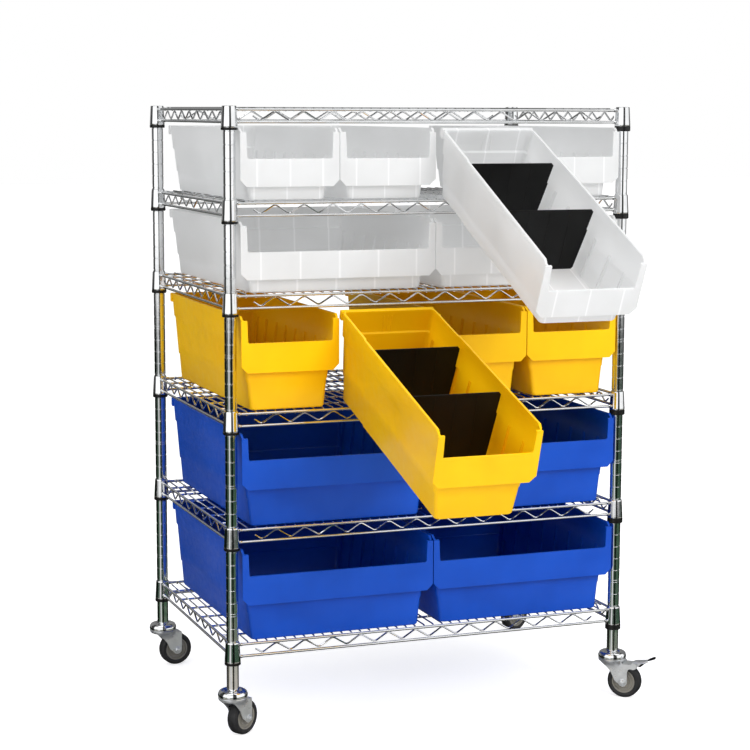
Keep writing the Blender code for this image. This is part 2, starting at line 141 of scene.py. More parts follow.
# ---- casters
WHEEL_RADIUS = 0.0375
TYRE_HALF = 0.0125  # half the tyre's width
HUB_RADIUS = 0.0262
FORK_TOP = 0.0785  # height of the fork's top plate
RACE_GAP = 0.0880  # height of the gap between the two races
RACE_RADIUS = 0.031
LEG_INNER = 0.0158  # inner face of a fork leg from the wheel's middle
SHEET = 0.0022
LEG_HALF = LEG_INNER + SHEET / 2
PEDAL_HALF = 0.0140  # half the width of the brake pedal

# ---- camera, angles in degrees
CAMERA_FROM_MIDDLE = Vector((-1.572, -4.134, 1.299))  # from the floor between the posts
CAMERA_YAW = 20.59
CAMERA_PITCH = -7.63
CAMERA_ROLL = 0.18
CAMERA_LENS = 95.0

# ---- light, lamps in watts
AMBIENT = 0.80
KEY = 100.0
TOP = 55.0
SIDE = 34.0
FLOOR_GLOW = 0.64

# ---- plastics
PLASTIC_IOR = 1.49
SKIN_ALPHA = 0.91  # of the milky plastic
SKIN_PAINTED_GLOW = 0.13  # painted glow: a constant emission of the milky plastic, standing in for light carried along inside its walls
SKIN_THROUGH = 0.36  # share of the light that comes through from its far side


# ======== materials
def new_material(name):
    made = bpy.data.materials.new(name)
    made.use_nodes = True
    tree = made.node_tree
    return made, tree, tree.nodes["Principled BSDF"]


def feed(tree, node, values):
    """Sets inputs of a node: a socket is linked to the input, anything else is its plain value."""
    for key, value in values.items():
        if isinstance(value, bpy.types.NodeSocket):
            tree.links.new(value, node.inputs[key])
        else:
            node.inputs[key].default_value = value


def add_node(tree, kind, values, **settings):
    node = tree.nodes.new(kind)
    for key, value in settings.items():
        setattr(node, key, value)
    feed(tree, node, values)
    return node


def coordinates(tree, kind):
    return add_node(tree, "ShaderNodeTexCoord", {}).outputs[kind]


def noise(tree, scale, detail=4.0, stretch=(1.0, 1.0, 1.0)):
    """Noise in object space, drawn out along an axis by a small number in stretch."""
    mapping = add_node(tree, "ShaderNodeMapping", {"Vector": coordinates(tree, "Object"), "Scale": stretch})
    values = {"Vector": mapping.outputs["Vector"], "Scale": scale, "Detail": detail}
    return add_node(tree, "ShaderNodeTexNoise", values).outputs["Fac"]


def greys(stops):
    """Colour stops from (position, brightness) pairs."""
    return [(position, (value, value, value)) for position, value in stops]


def ramp(tree, factor, stops):
    """A colour from stops of (position, colour)."""
    node = add_node(tree, "ShaderNodeValToRGB", {"Fac": factor})
    elements = node.color_ramp.elements
    while len(elements) < len(stops):
        elements.new(0.5)
    for element, (position, colour) in zip(elements, stops):
        element.position = position
        element.color = (*colour, 1.0)
    return node.outputs["Color"]


def between(tree, factor, low, high):
    """A value that runs from low to high with a noise's factor."""
    values = {"Value": factor, "From Min": 0.3, "From Max": 0.7, "To Min": low, "To Max": high}
    return add_node(tree, "ShaderNodeMapRange", values).outputs["Result"]


def bump(tree, height, strength, distance):
    values = {"Height": height, "Strength": strength, "Distance": distance}
    return add_node(tree, "ShaderNodeBump", values).outputs["Normal"]


def metal(name, dark, light, smooth, rough, ripple, metallic=1.0):
    """Plated steel: a fine clouding of tone and roughness, with a faint ripple."""
    made, tree, shader = new_material(name)
    feed(tree, shader, {
        "Metallic": metallic,
        "Base Color": ramp(tree, noise(tree, 35.0), [(0.35, dark), (0.65, light)]),
        "Roughness": between(tree, noise(tree, 90.0), smooth, rough),
        "Normal": bump(tree, noise(tree, 160.0, detail=2.0), ripple, 0.0005),
    })
    return made


def moulded(name, dark, light, smooth, rough, sheen=0.34):
    """Moulded plastic: slight tone changes along the flow, a fine grain and uneven gloss."""
    made, tree, shader = new_material(name)
    flow = noise(tree, 9.0, detail=3.0, stretch=(1.0, 0.35, 1.0))
    feed(tree, shader, {
        "Base Color": ramp(tree, flow, [(0.3, dark), (0.7, light)]),
        "Roughness": between(tree, noise(tree, 55.0), smooth, rough),
        "IOR": PLASTIC_IOR,
        "Specular IOR Level": sheen,
        "Normal": bump(tree, noise(tree, 900.0, detail=2.0), 0.10, 0.0003),
    })
    return made


def panel_lines(tree, panels):
    """Thin upright lines in the middle of each of a bin's panels, where its ribs make the skin thicker."""
    split = add_node(tree, "ShaderNodeSeparateXYZ", {"Vector": coordinates(tree, "Generated")})
    half = 0.016 / panels
    stops = []
    for panel in range(panels):
        line = (panel + 0.5) / panels
        for offset, value in ((-1.6, 0.0), (-1.0, 1.0), (1.0, 1.0), (1.6, 0.0)):
            stops.append((line + offset * half, value))
    return ramp(tree, split.outputs["X"], greys(stops))


def translucent(name, panels):
    """Natural polypropylene: a milky skin that shows the light from behind it, with a painted glow (a
    constant emission) for the light carried along it.
    """
    made, tree, shader = new_material(name)
    flow = noise(tree, 11.0, detail=3.0, stretch=(1.0, 0.4, 1.0))
    tone = add_node(tree, "ShaderNodeMix", {}, data_type="RGBA")
    feed(tree, tone, {
        "Factor": panel_lines(tree, panels),
        "A": ramp(tree, flow, [(0.3, (0.75, 0.755, 0.755)), (0.7, (0.81, 0.815, 0.82))]),
        "B": (0.98, 0.98, 0.99, 1.0),
    })
    feed(tree, shader, {
        "Base Color": tone.outputs["Result"],
        "Roughness": between(tree, flow, 0.28, 0.32),
        "IOR": PLASTIC_IOR,
        "Alpha": SKIN_ALPHA,
        # painted glow: the skin emits a faint warm white light of its own, though it is no lamp
        "Emission Color": (1.0, 0.995, 0.98, 1.0),
        "Emission Strength": SKIN_PAINTED_GLOW,
    })
    glow = add_node(tree, "ShaderNodeBsdfTranslucent", {"Color": (0.84, 0.85, 0.86, 1.0)})
    mix = {0: SKIN_THROUGH, 1: shader.outputs["BSDF"], 2: glow.outputs["BSDF"]}
    skin_and_glow = add_node(tree, "ShaderNodeMixShader", mix)
    feed(tree, tree.nodes["Material Output"], {"Surface": skin_and_glow.outputs["Shader"]})
    return made


def rubber(name):
    """Dark rubber with a fine worn grain."""
    made, tree, shader = new_material(name)
    wear = noise(tree, 120.0)
    feed(tree, shader, {
        "Base Color": ramp(tree, wear, [(0.3, (0.010, 0.010, 0.011)), (0.7, (0.020, 0.020, 0.022))]),
        "Roughness": between(tree, noise(tree, 70.0), 0.42, 0.62),
        "Normal": bump(tree, noise(tree, 1400.0, detail=3.0), 0.18, 0.0004),
    })
    return made


CHROME = metal("bright_chrome", (0.84, 0.85, 0.86), (0.94, 0.95, 0.96), 0.05, 0.11, 0.012)
WIRE = metal("chrome_wire_plate", (0.82, 0.83, 0.84), (0.92, 0.93, 0.94), 0.06, 0.13, 0.02)
ZINC = metal("zinc_plate", (0.68, 0.70, 0.72), (0.84, 0.86, 0.87), 0.26, 0.40, 0.05, 0.78)
YELLOW = moulded("yellow_polypropylene", (0.92, 0.50, 0.001), (0.98, 0.58, 0.002), 0.30, 0.42, 0.26)
BLUE = moulded("blue_polypropylene", (0.002, 0.062, 0.46), (0.004, 0.080, 0.56), 0.28, 0.40)
CLEAR = translucent("natural_polypropylene", 3)
CLEAR_WIDE = translucent("natural_polypropylene_wide", 5)
BLACK = moulded("black_polypropylene", (0.002, 0.002, 0.002), (0.005, 0.005, 0.005), 0.34, 0.50, 0.20)
SLEEVE = moulded("black_sleeve", (0.004, 0.004, 0.004), (0.009, 0.009, 0.009), 0.18, 0.30)
CORE = moulded("grey_brown_core", (0.20, 0.19, 0.165), (0.29, 0.275, 0.24), 0.38, 0.52)
TREAD = rubber("dark_tread")


# ======== mesh helpers
def unit(angle):
    return Vector((math.cos(angle), math.sin(angle), 0.0))


def softened(corners, reach, steps=4):
    """The polyline with each inner corner rounded by a short curve that stays within reach of it."""
    corners = [Vector(corner) for corner in corners]
    path = [corners[0]]
    for before, corner, after in zip(corners, corners[1:], corners[2:]):
        start = corner + (before - corner).normalized() * min(reach, (before - corner).length * 0.45)
        end = corner + (after - corner).normalized() * min(reach, (after - corner).length * 0.45)
        for step in range(steps + 1):
            t = step / steps
            path.append(start * (1 - t) ** 2 + corner * 2 * t * (1 - t) + end * t * t)
    return path + [corners[-1]]


def add_wire(shape, path, radius, sides=8):
    """A round wire along a path, closed at both ends."""
    path = [Vector(point) for point in path]
    side = (path[1] - path[0]).orthogonal().normalized()
    rings = []
    for number, point in enumerate(path):
        ahead = (path[min(number + 1, len(path) - 1)] - path[max(number - 1, 0)]).normalized()
        side = (side - ahead * side.dot(ahead)).normalized()
        other = ahead.cross(side)
        rings.append([
            shape.verts.new(point + radius * (side * math.cos(a) + other * math.sin(a)))
            for a in (2 * math.pi * step / sides for step in range(sides))
        ])
    add_loft(shape, rings)


def skin(shape, rings, around):
    """Joins neighbouring rings of vertices with four-cornered faces."""
    for ring, after in zip(rings, rings[1:]):
        last = len(ring) if around else len(ring) - 1
        for step in range(last):
            nxt = (step + 1) % len(ring)
            shape.faces.new((ring[step], ring[nxt], after[nxt], after[step]))


def add_loft(shape, rings):
    """A closed solid through rings of vertices."""
    skin(shape, rings, around=True)
    shape.faces.new(rings[0])
    shape.faces.new(rings[-1])


def add_turned(shape, profile, sides, place=Matrix.Identity(4), start=0.0, sweep=2 * math.pi):
    """A closed (radius, height) outline turned about Z; less than a full turn is closed at its ends."""
    whole = sweep > 2 * math.pi - 1e-6
    count = sides if whole else sides + 1
    angles = [start + sweep * step / sides for step in range(count)]
    rings = []
    for radius, height in profile:
        if radius < 1e-9:
            rings.append([shape.verts.new(place @ Vector((0.0, 0.0, height)))] * count)
        else:
            rise = Vector((0.0, 0.0, height))
            rings.append([shape.verts.new(place @ (unit(angle) * radius + rise)) for angle in angles])
    for ring, after in zip(rings, rings[1:] + rings[:1]):
        for step in range(sides):
            nxt = (step + 1) % count
            corners = []
            for corner in (ring[step], ring[nxt], after[nxt], after[step]):
                if corner not in corners:
                    corners.append(corner)
            if len(corners) > 2:
                shape.faces.new(corners)
    if not whole:
        shape.faces.new([ring[0] for ring in rings])
        shape.faces.new([ring[-1] for ring in rings])


def add_prism(shape, near, far):
    """A closed solid between two matching outlines of points."""
    near = [shape.verts.new(point) for point in near]
    far = [shape.verts.new(point) for point in far]
    shape.faces.new(near)
    shape.faces.new(far)
    skin(shape, [near, far], around=True)


def add_slab(shape, outline, axis, low, high):
    """A flat outline in two axes, drawn out along the third, 0 for X to 2 for Z, from low to high."""
    near, far = ([(*pair[:axis], depth, *pair[axis:]) for pair in outline] for depth in (low, high))
    add_prism(shape, near, far)


def add_box(shape, low, high):
    """A box between two opposite corners."""
    (x0, y0, z0), (x1, y1, z1) = low, high
    add_slab(shape, [(x0, y0), (x1, y0), (x1, y1), (x0, y1)], 2, z0, z1)


def turned_mesh(name, profile, sides, place=Matrix.Identity(4)):
    shape = bmesh.new()
    add_turned(shape, profile, sides, place)
    return to_mesh(name, shape)


def slab_mesh(name, outline, axis, low, high):
    shape = bmesh.new()
    add_slab(shape, outline, axis, low, high)
    return to_mesh(name, shape)


def along_x(x, y, z):
    """Where something turned about Z is put to lie along X instead."""
    return Matrix.Translation((x, y, z)) @ Matrix.Rotation(math.pi / 2, 4, "Y")


def along_y(x, y, z):
    """The same, to lie along Y."""
    return Matrix.Translation((x, y, z)) @ Matrix.Rotation(math.pi / 2, 4, "X")


def to_mesh(name, shape):
    bmesh.ops.recalc_face_normals(shape, faces=shape.faces)
    mesh = bpy.data.meshes.new(name)
    shape.to_mesh(mesh)
    shape.free()
    return mesh


def new_object(name, data):
    made = bpy.data.objects.new(name, data)
    bpy.context.scene.collection.objects.link(made)
    return made


def add_piece(name, mesh, finish, body, slot, stands_for, place, crease=35.0, bevel=0.0):
    """One visible piece that rides on a body and takes the place of the CAD nodes it stands for."""
    if not mesh.materials:
        mesh.materials.append(finish)
    mesh.shade_smooth()
    mesh.set_sharp_from_angle(angle=math.radians(crease))
    made = new_object(name, mesh)
    if place.to_quaternion().angle > 1e-4:
        made.data = mesh.copy()
        made.data.transform(place)
    else:
        made.matrix_world = place
    if bevel:
        edge = made.modifiers.new("edges", "BEVEL")
        edge.width = bevel
        edge.segments = 2
        edge.limit_method = "ANGLE"
        edge.angle_limit = math.radians(38)
    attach(made, body)
    if stands_for:
        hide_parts(*stands_for)


def combined(mesh, steps):
    """The mesh after Booleans: steps is a list of (operation, tool mesh)."""
    base = new_object("base", mesh)
    for operation, tool_mesh in steps:
        tool = new_object("tool", tool_mesh)
        step = base.modifiers.new("step", "BOOLEAN")
        step.operation = operation
        step.object = tool
        depsgraph = bpy.context.evaluated_depsgraph_get()
        base.data = bpy.data.meshes.new_from_object(base.evaluated_get(depsgraph))
        base.modifiers.clear()
        bpy.data.objects.remove(tool, do_unlink=True)
    result = base.data
    bpy.data.objects.remove(base, do_unlink=True)
    return result


# ======== posts
def groove_heights(high):
    """Heights of a post's grooves, all of them above the lowest shelf."""
    heights = []
    number = 0
    while True:
        height = DECKS[0] + (number + GROOVE_FIRST) * GROOVE_PITCH
        if height > high - GROOVE_PITCH / 2:
            break
        heights.append(height)
        if number % DOUBLE_EVERY == DOUBLE_OFFSET:
            heights.append(height + DOUBLE_GAP)
        number += 1
    return heights


def post_profile(low, high):
    """Half section of a grooved tube: outside from foot to top, then the bore back down."""
    edge = 0.0006
    outline = [(POST_RADIUS - edge, low), (POST_RADIUS, low + edge)]
    for height in groove_heights(high):
        outline += [
            (POST_RADIUS, height - GROOVE_WIDTH / 2),
            (POST_RADIUS - GROOVE_DEPTH, height - GROOVE_WIDTH / 4),
            (POST_RADIUS - GROOVE_DEPTH, height + GROOVE_WIDTH / 4),
            (POST_RADIUS, height + GROOVE_WIDTH / 2),
        ]
    bore = POST_RADIUS - 0.0014
    return outline + [(POST_RADIUS, high - edge), (POST_RADIUS - edge, high), (bore, high), (bore, low)]


def cap_profile():
    """Half section of a post's end cap: a plug inside the tube and a low rounded head on its rim."""
    cap_low, cap_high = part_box("post_cap_front_left")
    rise = cap_high.z - POST_HIGH.z
    plug = POST_RADIUS - 0.0020
    rim = POST_RADIUS - 0.0003
    seat = POST_HIGH.z + 0.0003
    return [
        (0.0, cap_low.z), (plug, cap_low.z), (plug, seat), (rim, seat), (rim, POST_HIGH.z + 0.0010),
        (rim - 0.0018, cap_high.z - rise * 0.2), (rim - 0.005, cap_high.z), (0.0, cap_high.z),
    ]


def make_posts():
    tube = turned_mesh("post_tube", post_profile(POST_LOW.z, POST_HIGH.z), POST_SIDES)
    cap = turned_mesh("post_end", cap_profile(), POST_SIDES)
    for corner in CORNERS:
        place = Matrix.Translation((POSTS[corner].x, POSTS[corner].y, 0.0))
        add_piece(f"grooved_tube_{corner}", tube, CHROME, ROOT, "chrome_wire", [f"post_{corner}"], place)
        add_piece(f"end_cap_{corner}", cap, CHROME, ROOT, "chrome_wire", [f"post_cap_{corner}"], place)


# ======== shelves
# the thickened end of a perimeter wire where it is welded to its collar, turned about the wire
WELD = (
    (0.0, -0.0060), (0.0030, -0.0052), (0.0037, -0.0020), (0.0038, 0.0020), (0.0030, 0.0052), (0.0, 0.0060),
)


def zigzag(first, count, pitch, line):
    """Path of a truss wire: half-height hooks at its ends, count lower bends, upper bends between them.

    line(along, drop) gives the point at a distance along the side and a drop below the deck."""
    last = first + (count - 1) * pitch
    path = [line(first - HOOK_REACH, HOOK_TOP)]
    for number in range(count):
        along = first + number * pitch
        path.append(line(along, ZIGZAG_BOTTOM))
        if number < count - 1:
            path.append(line(along + pitch / 2, ZIGZAG_TOP))
    path.append(line(last + HOOK_REACH, HOOK_TOP))
    return softened(path, 0.006, 3)


def add_perimeter(shape, drop):
    """Four perimeter wires at one drop below the deck, with a thickened weld at each end."""
    end_x, end_y = HALF_X - WIRE_INSET, HALF_Y - WIRE_INSET
    for side in (-1, 1):
        x, y = side * HALF_X, side * HALF_Y
        add_wire(shape, [(-end_x, y, -drop), (end_x, y, -drop)], PERIMETER_RADIUS, 12)
        add_wire(shape, [(x, -end_y, -drop), (x, end_y, -drop)], PERIMETER_RADIUS, 12)
        for end in (-1, 1):
            add_turned(shape, WELD, 10, along_x(end * (end_x - 0.0035), y, -drop))
            add_turned(shape, WELD, 10, along_y(x, end * (end_y - 0.0035), -drop))


def shelf_frame_mesh():
    """Perimeter wires and trusses of one shelf, its deck at Z = 0 and its middle on the axis."""
    shape = bmesh.new()
    for drop in (UPPER_WIRE_DROP, LOWER_WIRE_DROP):
        add_perimeter(shape, drop)
    inner = PERIMETER_RADIUS + ZIGZAG_RADIUS - 0.0003
    first_x = -ZIGZAG_PITCH * (FRONT_BENDS - 1) / 2
    pitch_y = (2 * HALF_Y - SIDE_MARGIN) / (SIDE_BENDS - 1)
    first_y = -pitch_y * (SIDE_BENDS - 1) / 2
    for side in (-1, 1):
        x, y = side * (HALF_X - inner), side * (HALF_Y - inner)
        across = zigzag(first_x, FRONT_BENDS, ZIGZAG_PITCH, lambda along, drop: (along, y, -drop))
        add_wire(shape, across, ZIGZAG_RADIUS)
        back = zigzag(first_y, SIDE_BENDS, pitch_y, lambda along, drop: (x, along, -drop))
        add_wire(shape, back, ZIGZAG_RADIUS)
    return to_mesh("shelf_frame", shape)


def deck_mesh():
    """Deck wires over the cross rods; their ends turn down behind the perimeter wires."""
    shape = bmesh.new()
    pitch = ZIGZAG_PITCH / 3
    level = -DECK_WIRE_RADIUS - 0.0001
    foot = -0.0092
    end = HALF_Y - PERIMETER_RADIUS - DECK_WIRE_RADIUS + 0.0003
    short_end = end - 0.030  # the outermost wires stop before the collars
    for number in range(DECK_WIRES):
        x = (number - (DECK_WIRES - 1) / 2) * pitch
        if number in (0, DECK_WIRES - 1):
            path = [(x, -short_end, level), (x, short_end, level)]
        else:
            path = softened([(x, -end, foot), (x, -end, level), (x, end, level), (x, end, foot)], 0.0045, 3)
        add_wire(shape, path, DECK_WIRE_RADIUS, 7)
    under = level - DECK_WIRE_RADIUS - CROSS_ROD_RADIUS + 0.0003
    side_end = HALF_X - PERIMETER_RADIUS
    for number in range(CROSS_RODS):
        y = -HALF_Y + (number + 1) * 2 * HALF_Y / (CROSS_RODS + 1)
        add_wire(shape, [(-side_end, y, under), (side_end, y, under)], CROSS_ROD_RADIUS)
    return to_mesh("shelf_deck", shape)


def at_corner(corner):
    """Where a corner's post passes through a shelf, from the shelf's own middle."""
    x = HALF_X if "right" in corner else -HALF_X
    y = HALF_Y if "rear" in corner else -HALF_Y
    return Matrix.Translation((x, y, 0.0))


def collars_mesh():
    """The conical corner collars that slide over the posts."""
    shape = bmesh.new()
    bore = POST_RADIUS + 0.0008
    top, broad = COLLAR_TOP_RADIUS, COLLAR_FOOT_RADIUS
    for corner in CORNERS:
        foot = -SLEEVE_MIDDLE + SLEEVE_RING[corner] / 2
        add_turned(shape, [
            (top - 0.0006, COLLAR_RISE), (top, COLLAR_RISE - 0.0010), (top + 0.0001, COLLAR_RISE - 0.0030),
            (broad - 0.0001, foot + 0.0030), (broad, foot + 0.0010), (broad - 0.0006, foot),
            (bore + 0.0012, foot), (bore, foot + 0.0012), (bore, COLLAR_RISE - 0.0008),
            (bore + 0.0006, COLLAR_RISE),
        ], POST_SIDES, at_corner(corner))
    return to_mesh("shelf_collars", shape)


def sleeves_mesh():
    """The visible rings of the split sleeves: two half rings with a narrow gap between them."""
    shape = bmesh.new()
    gap = math.radians(3.0)
    bore, broad = POST_RADIUS + 0.0002, COLLAR_FOOT_RADIUS
    for corner in CORNERS:
        ring = SLEEVE_RING[corner]
        top = -SLEEVE_MIDDLE + ring / 2 - 0.0002
        foot = top - ring
        profile = [
            (bore, top), (broad - 0.0004, top), (broad + 0.0002, top - 0.0007),
            (broad + 0.0002, foot + 0.0012), (broad - 0.0010, foot), (bore, foot),
        ]
        for start in (0.0, math.pi):
            add_turned(shape, profile, POST_SIDES // 2, at_corner(corner), start + gap, math.pi - 2 * gap)
    return to_mesh("shelf_sleeves", shape)


def make_shelves():
    parts = (
        ("truss", shelf_frame_mesh(), WIRE, "chrome_wire"),
        ("deck_wires", deck_mesh(), WIRE, "chrome_wire"),
        ("collars", collars_mesh(), CHROME, "chrome_wire"),
        ("split_sleeves", sleeves_mesh(), SLEEVE, "black_plastic"),
    )
    for number, deck in enumerate(DECKS):
        place = Matrix.Translation((MIDDLE_X, MIDDLE_Y, deck))
        for part, mesh, finish, slot in parts:
            stands_for = [f"wire_shelf_{number + 1}"] if part == "truss" else []
            add_piece(f"shelf_{number + 1}_{part}", mesh, finish, ROOT, slot, stands_for, place)


# ======== bins
def bin_half(width, height, level):
    """Half the outer width of a bin's side at a level, with its two mould steps."""
    half = width / 2 - TAPER + (TAPER - 2 * STEP) * level / height
    if level > LOWER_STEP * height:
        half += STEP
    if level > height - UPPER_STEP:
        half += STEP
    return half


def bin_rear(height, level):
    """Outer face of the rear wall at a level, measured from the lip."""
    upper = BIN_LENGTH - HOOK_DEPTH
    foot = upper - REAR_STEP - REAR_LEAN
    lower_step = 0.002
    rear = foot + (REAR_LEAN - lower_step) * level / (height - UPPER_STEP)
    if level > LOWER_STEP * height:
        rear += lower_step
    return upper if level > height - UPPER_STEP else rear


def arc(radius, first, last, steps):
    """Points of a rounded corner about its centre, between two angles in degrees."""
    turns = [math.radians(first + (last - first) * step / steps) for step in range(steps + 1)]
    return [(radius * math.cos(turn), radius * math.sin(turn)) for turn in turns]


def bin_outline(half, flare, front, rear, front_radius, rear_radius):
    """Rounded outline seen from above, with the rear stretch of each side set in by the notch."""
    right = [(half - front_radius + x, front + front_radius + y) for x, y in arc(front_radius, -90, 0, 4)]
    split = BIN_LENGTH - REAR_NOTCH_LENGTH
    wider = flare * split / BIN_LENGTH
    right += [(half + wider, split - 0.003), (half + wider - REAR_NOTCH, split + 0.003)]
    inner = half + flare - REAR_NOTCH
    right += [(inner - rear_radius + x, rear - rear_radius + y) for x, y in arc(rear_radius, 0, 90, 5)]
    return right + [(-x, y) for x, y in reversed(right)]


def bin_levels(height):
    """Levels at which a bin's outline is drawn, with the inset that rounds the foot."""
    lower, upper = LOWER_STEP * height, height - UPPER_STEP
    return [
        (0.0, 0.0042), (0.0012, 0.0014), (0.0042, 0.0), (lower - 0.0012, 0.0), (lower + 0.0012, 0.0),
        (upper - 0.0015, 0.0), (upper + 0.0015, 0.0),
    ]


def shell_solid(name, width, size, wall):
    """The outside of a bin's body, or with a wall its inside, as one closed solid."""
    height, lip_low, _ = BIN_SIZES[size]
    step_at = lip_low + wall
    sections = [(level + wall, inset, wall) for level, inset in bin_levels(height)]
    if wall:
        sections += [(height - 0.0080, 0.0, wall), (height - 0.0045, 0.0, RIM), (height + 0.0100, 0.0, RIM)]
    else:
        sections += [(height - 0.0008, 0.0, 0.0), (height, 0.0008, 0.0)]
    below = [section for section in sections if section[0] < step_at - 0.0005]
    above = [section for section in sections if section[0] > step_at + 0.0035]
    shape = bmesh.new()
    rings = []
    for level, inset, thick in below + [(step_at, 0.0, wall), (step_at + 0.0022, 0.0, wall)] + above:
        recessed = level <= step_at + 0.0001
        drawn_at = level - wall if thick == wall else min(level, height)
        outline = bin_outline(
            half=bin_half(width, height, drawn_at) - thick - inset,
            flare=REAR_FLARE * (1 - drawn_at / height),
            front=(LIP_RECESS if recessed else LIP_PLATE / 2) + thick + inset,
            rear=bin_rear(height, drawn_at) - thick - inset,
            front_radius=(0.0085 if recessed else 0.0062) - min(thick, 0.004),
            rear_radius=0.0120 - thick,
        )
        rings.append([shape.verts.new((x, y, level)) for x, y in outline])
    add_loft(shape, rings)
    return to_mesh(name, shape)


def lip_mesh(width, size):
    """The label lip with its two upright flanges: a flat frame with chamfered lower corners."""
    height, lip_low, lip_top = BIN_SIZES[size]
    half = width / 2
    inside = half - FLANGE
    flange_top = height - FRONT_CHAMFER + 0.003
    outline = [
        (-half + LIP_CHAMFER, lip_low), (half - LIP_CHAMFER, lip_low), (half, lip_low + LIP_CHAMFER),
        (half, flange_top), (inside + 0.0010, flange_top), (inside - 0.0008, lip_top + 0.0030),
        (inside - 0.0040, lip_top), (-inside + 0.0040, lip_top), (-inside + 0.0008, lip_top + 0.0030),
        (-inside - 0.0010, flange_top), (-half, flange_top), (-half, lip_low + LIP_CHAMFER),
    ]
    return slab_mesh("lip", outline, 1, 0.0, LIP_PLATE)


def window_mesh(width, size):
    """What is cut away above the lip, between the flanges."""
    height, _, lip_top = BIN_SIZES[size]
    inside = width / 2 - FLANGE - 0.0002
    low, high = lip_top + 0.0002, height + 0.02
    outline = [(-inside, low), (inside, low), (inside + 0.0012, high), (-inside - 0.0012, high)]
    return slab_mesh("window", outline, 1, -0.02, 0.0115)


def chamfer_mesh(width, size):
    """What is cut away for the slope at the top of the flanges."""
    height = BIN_SIZES[size][0]
    low, high = height - FRONT_CHAMFER + 0.0030, height + 0.02
    back = LIP_PLATE + FRONT_CHAMFER
    half = width / 2 + 0.01
    outline = [(-0.02, low), (LIP_PLATE, low), (back, height + 0.0002), (back, high), (-0.02, high)]
    return slab_mesh("chamfer", outline, 0, -half, half)


def add_wall_rib(shape, width, height, y, side):
    """An upright rib on the inner face of a side wall, which leans with it."""
    half_thick, proud, sunk = 0.0009, 0.0013, 0.0008
    notch = REAR_NOTCH if y > BIN_LENGTH - REAR_NOTCH_LENGTH else 0.0
    ends = []
    for level in (WALL + 0.001, height - UPPER_STEP - 0.004):
        wall = bin_half(width, height, level) - WALL - notch
        outer, inner = side * (wall + sunk), side * (wall - proud)
        ends.append([
            (outer, y - half_thick, level), (inner, y - half_thick + 0.0004, level),
            (inner, y + half_thick - 0.0004, level), (outer, y + half_thick, level),
        ])
    add_prism(shape, *ends)


def add_hook(shape, width, height):
    """The rolled grip along the top of the rear wall."""
    rear = BIN_LENGTH - HOOK_DEPTH - 0.001
    foot = height - HOOK_HEIGHT
    half = width / 2 - REAR_NOTCH - 0.0010
    outline = [
        (rear, height - 0.0010), (rear + 0.003, height), (BIN_LENGTH - 0.0035, height),
        (BIN_LENGTH - 0.0008, height - 0.0018), (BIN_LENGTH, height - 0.0050), (BIN_LENGTH, foot + 0.004),
        (BIN_LENGTH - 0.0015, foot + 0.001), (BIN_LENGTH - 0.0045, foot), (rear, foot),
    ]
    add_slab(shape, outline, 0, -half, half)


def add_slot_ribs(shape, width, height):
    """Pairs of ribs on both side walls, with a divider's slot between the two of each pair."""
    first = LIP_RECESS + 0.030
    pitch = (BIN_LENGTH - 0.050 - first) / (SLOT_GROUPS - 1)
    for group in range(SLOT_GROUPS):
        for offset in (-0.0032, 0.0032):
            for side in (-1, 1):
                add_wall_rib(shape, width, height, first + group * pitch + offset, side)


def add_rear_ribs(shape, height):
    """Three short ribs at the top of the rear wall's inner face."""
    rear = BIN_LENGTH - HOOK_DEPTH - WALL
    for x in (-0.009, 0.0, 0.009):
        add_box(shape, (x - 0.0008, rear - 0.0014, height - UPPER_STEP + 0.006),
                (x + 0.0008, rear + 0.0006, height - 0.012))


def add_lip_ribs(shape, width, lip_low, lip_top):
    """Ribs under and behind the lip, one in the middle of each panel."""
    count = 5 if width > WIDE_BIN else 3
    inside = width / 2 - FLANGE
    front = LIP_PLATE / 2 + WALL
    for number in range(count):
        x = -inside + 2 * inside * (number + 0.5) / count
        add_box(shape, (x - 0.0010, 0.0001, lip_low + 0.0025),
                (x + 0.0010, LIP_RECESS + 0.001, lip_low + 0.0035))
        add_box(shape, (x - 0.0009, front - 0.0006, lip_low + WALL),
                (x + 0.0009, front + 0.0022, lip_top - 0.002))


def bin_mesh(width, size, ribbed_lip):
    """A hopper bin: a shell open above its front lip, with ribs for dividers and a grip at the rear."""
    height, lip_low, lip_top = BIN_SIZES[size]
    mesh = combined(shell_solid("outside", width, size, 0.0), [
        ("DIFFERENCE", shell_solid("inside", width, size, WALL)),
        ("DIFFERENCE", window_mesh(width, size)),
        ("UNION", lip_mesh(width, size)),
        ("DIFFERENCE", chamfer_mesh(width, size)),
    ])
    shape = bmesh.new()
    shape.from_mesh(mesh)
    bmesh.ops.remove_doubles(shape, verts=shape.verts, dist=2e-6)
    add_hook(shape, width, height)
    add_slot_ribs(shape, width, height)
    add_rear_ribs(shape, height)
    if ribbed_lip:
        add_lip_ribs(shape, width, lip_low, lip_top)
    return to_mesh(f"{size}_bin", shape)


def bin_place(name):
    """Where a bin's own frame lies: Y = 0 at its lip, Z = 0 under its floor, centred on X."""
    if name not in INSIDE_EDGE:
        low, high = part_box(name)
        return Matrix.Translation(((low.x + high.x) / 2, low.y, low.z))
    joint = JOINTS[f"{name}_tilt"]
    tilt = Matrix.Rotation(math.radians(joint["range_deg"][1]), 4, "X")
    inward = Matrix.Translation((0.0, INSIDE_EDGE[name] - BIN_LENGTH, 0.0))
    return Matrix.Translation(joint["pos_m"]) @ tilt @ inward


def bin_width(name):
    low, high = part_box(name)
    return high.x - low.x


FINISHES = {
    "clear": (CLEAR, "clear_plastic"),
    "yellow": (YELLOW, "yellow_plastic"),
    "blue": (BLUE, "blue_plastic"),
}


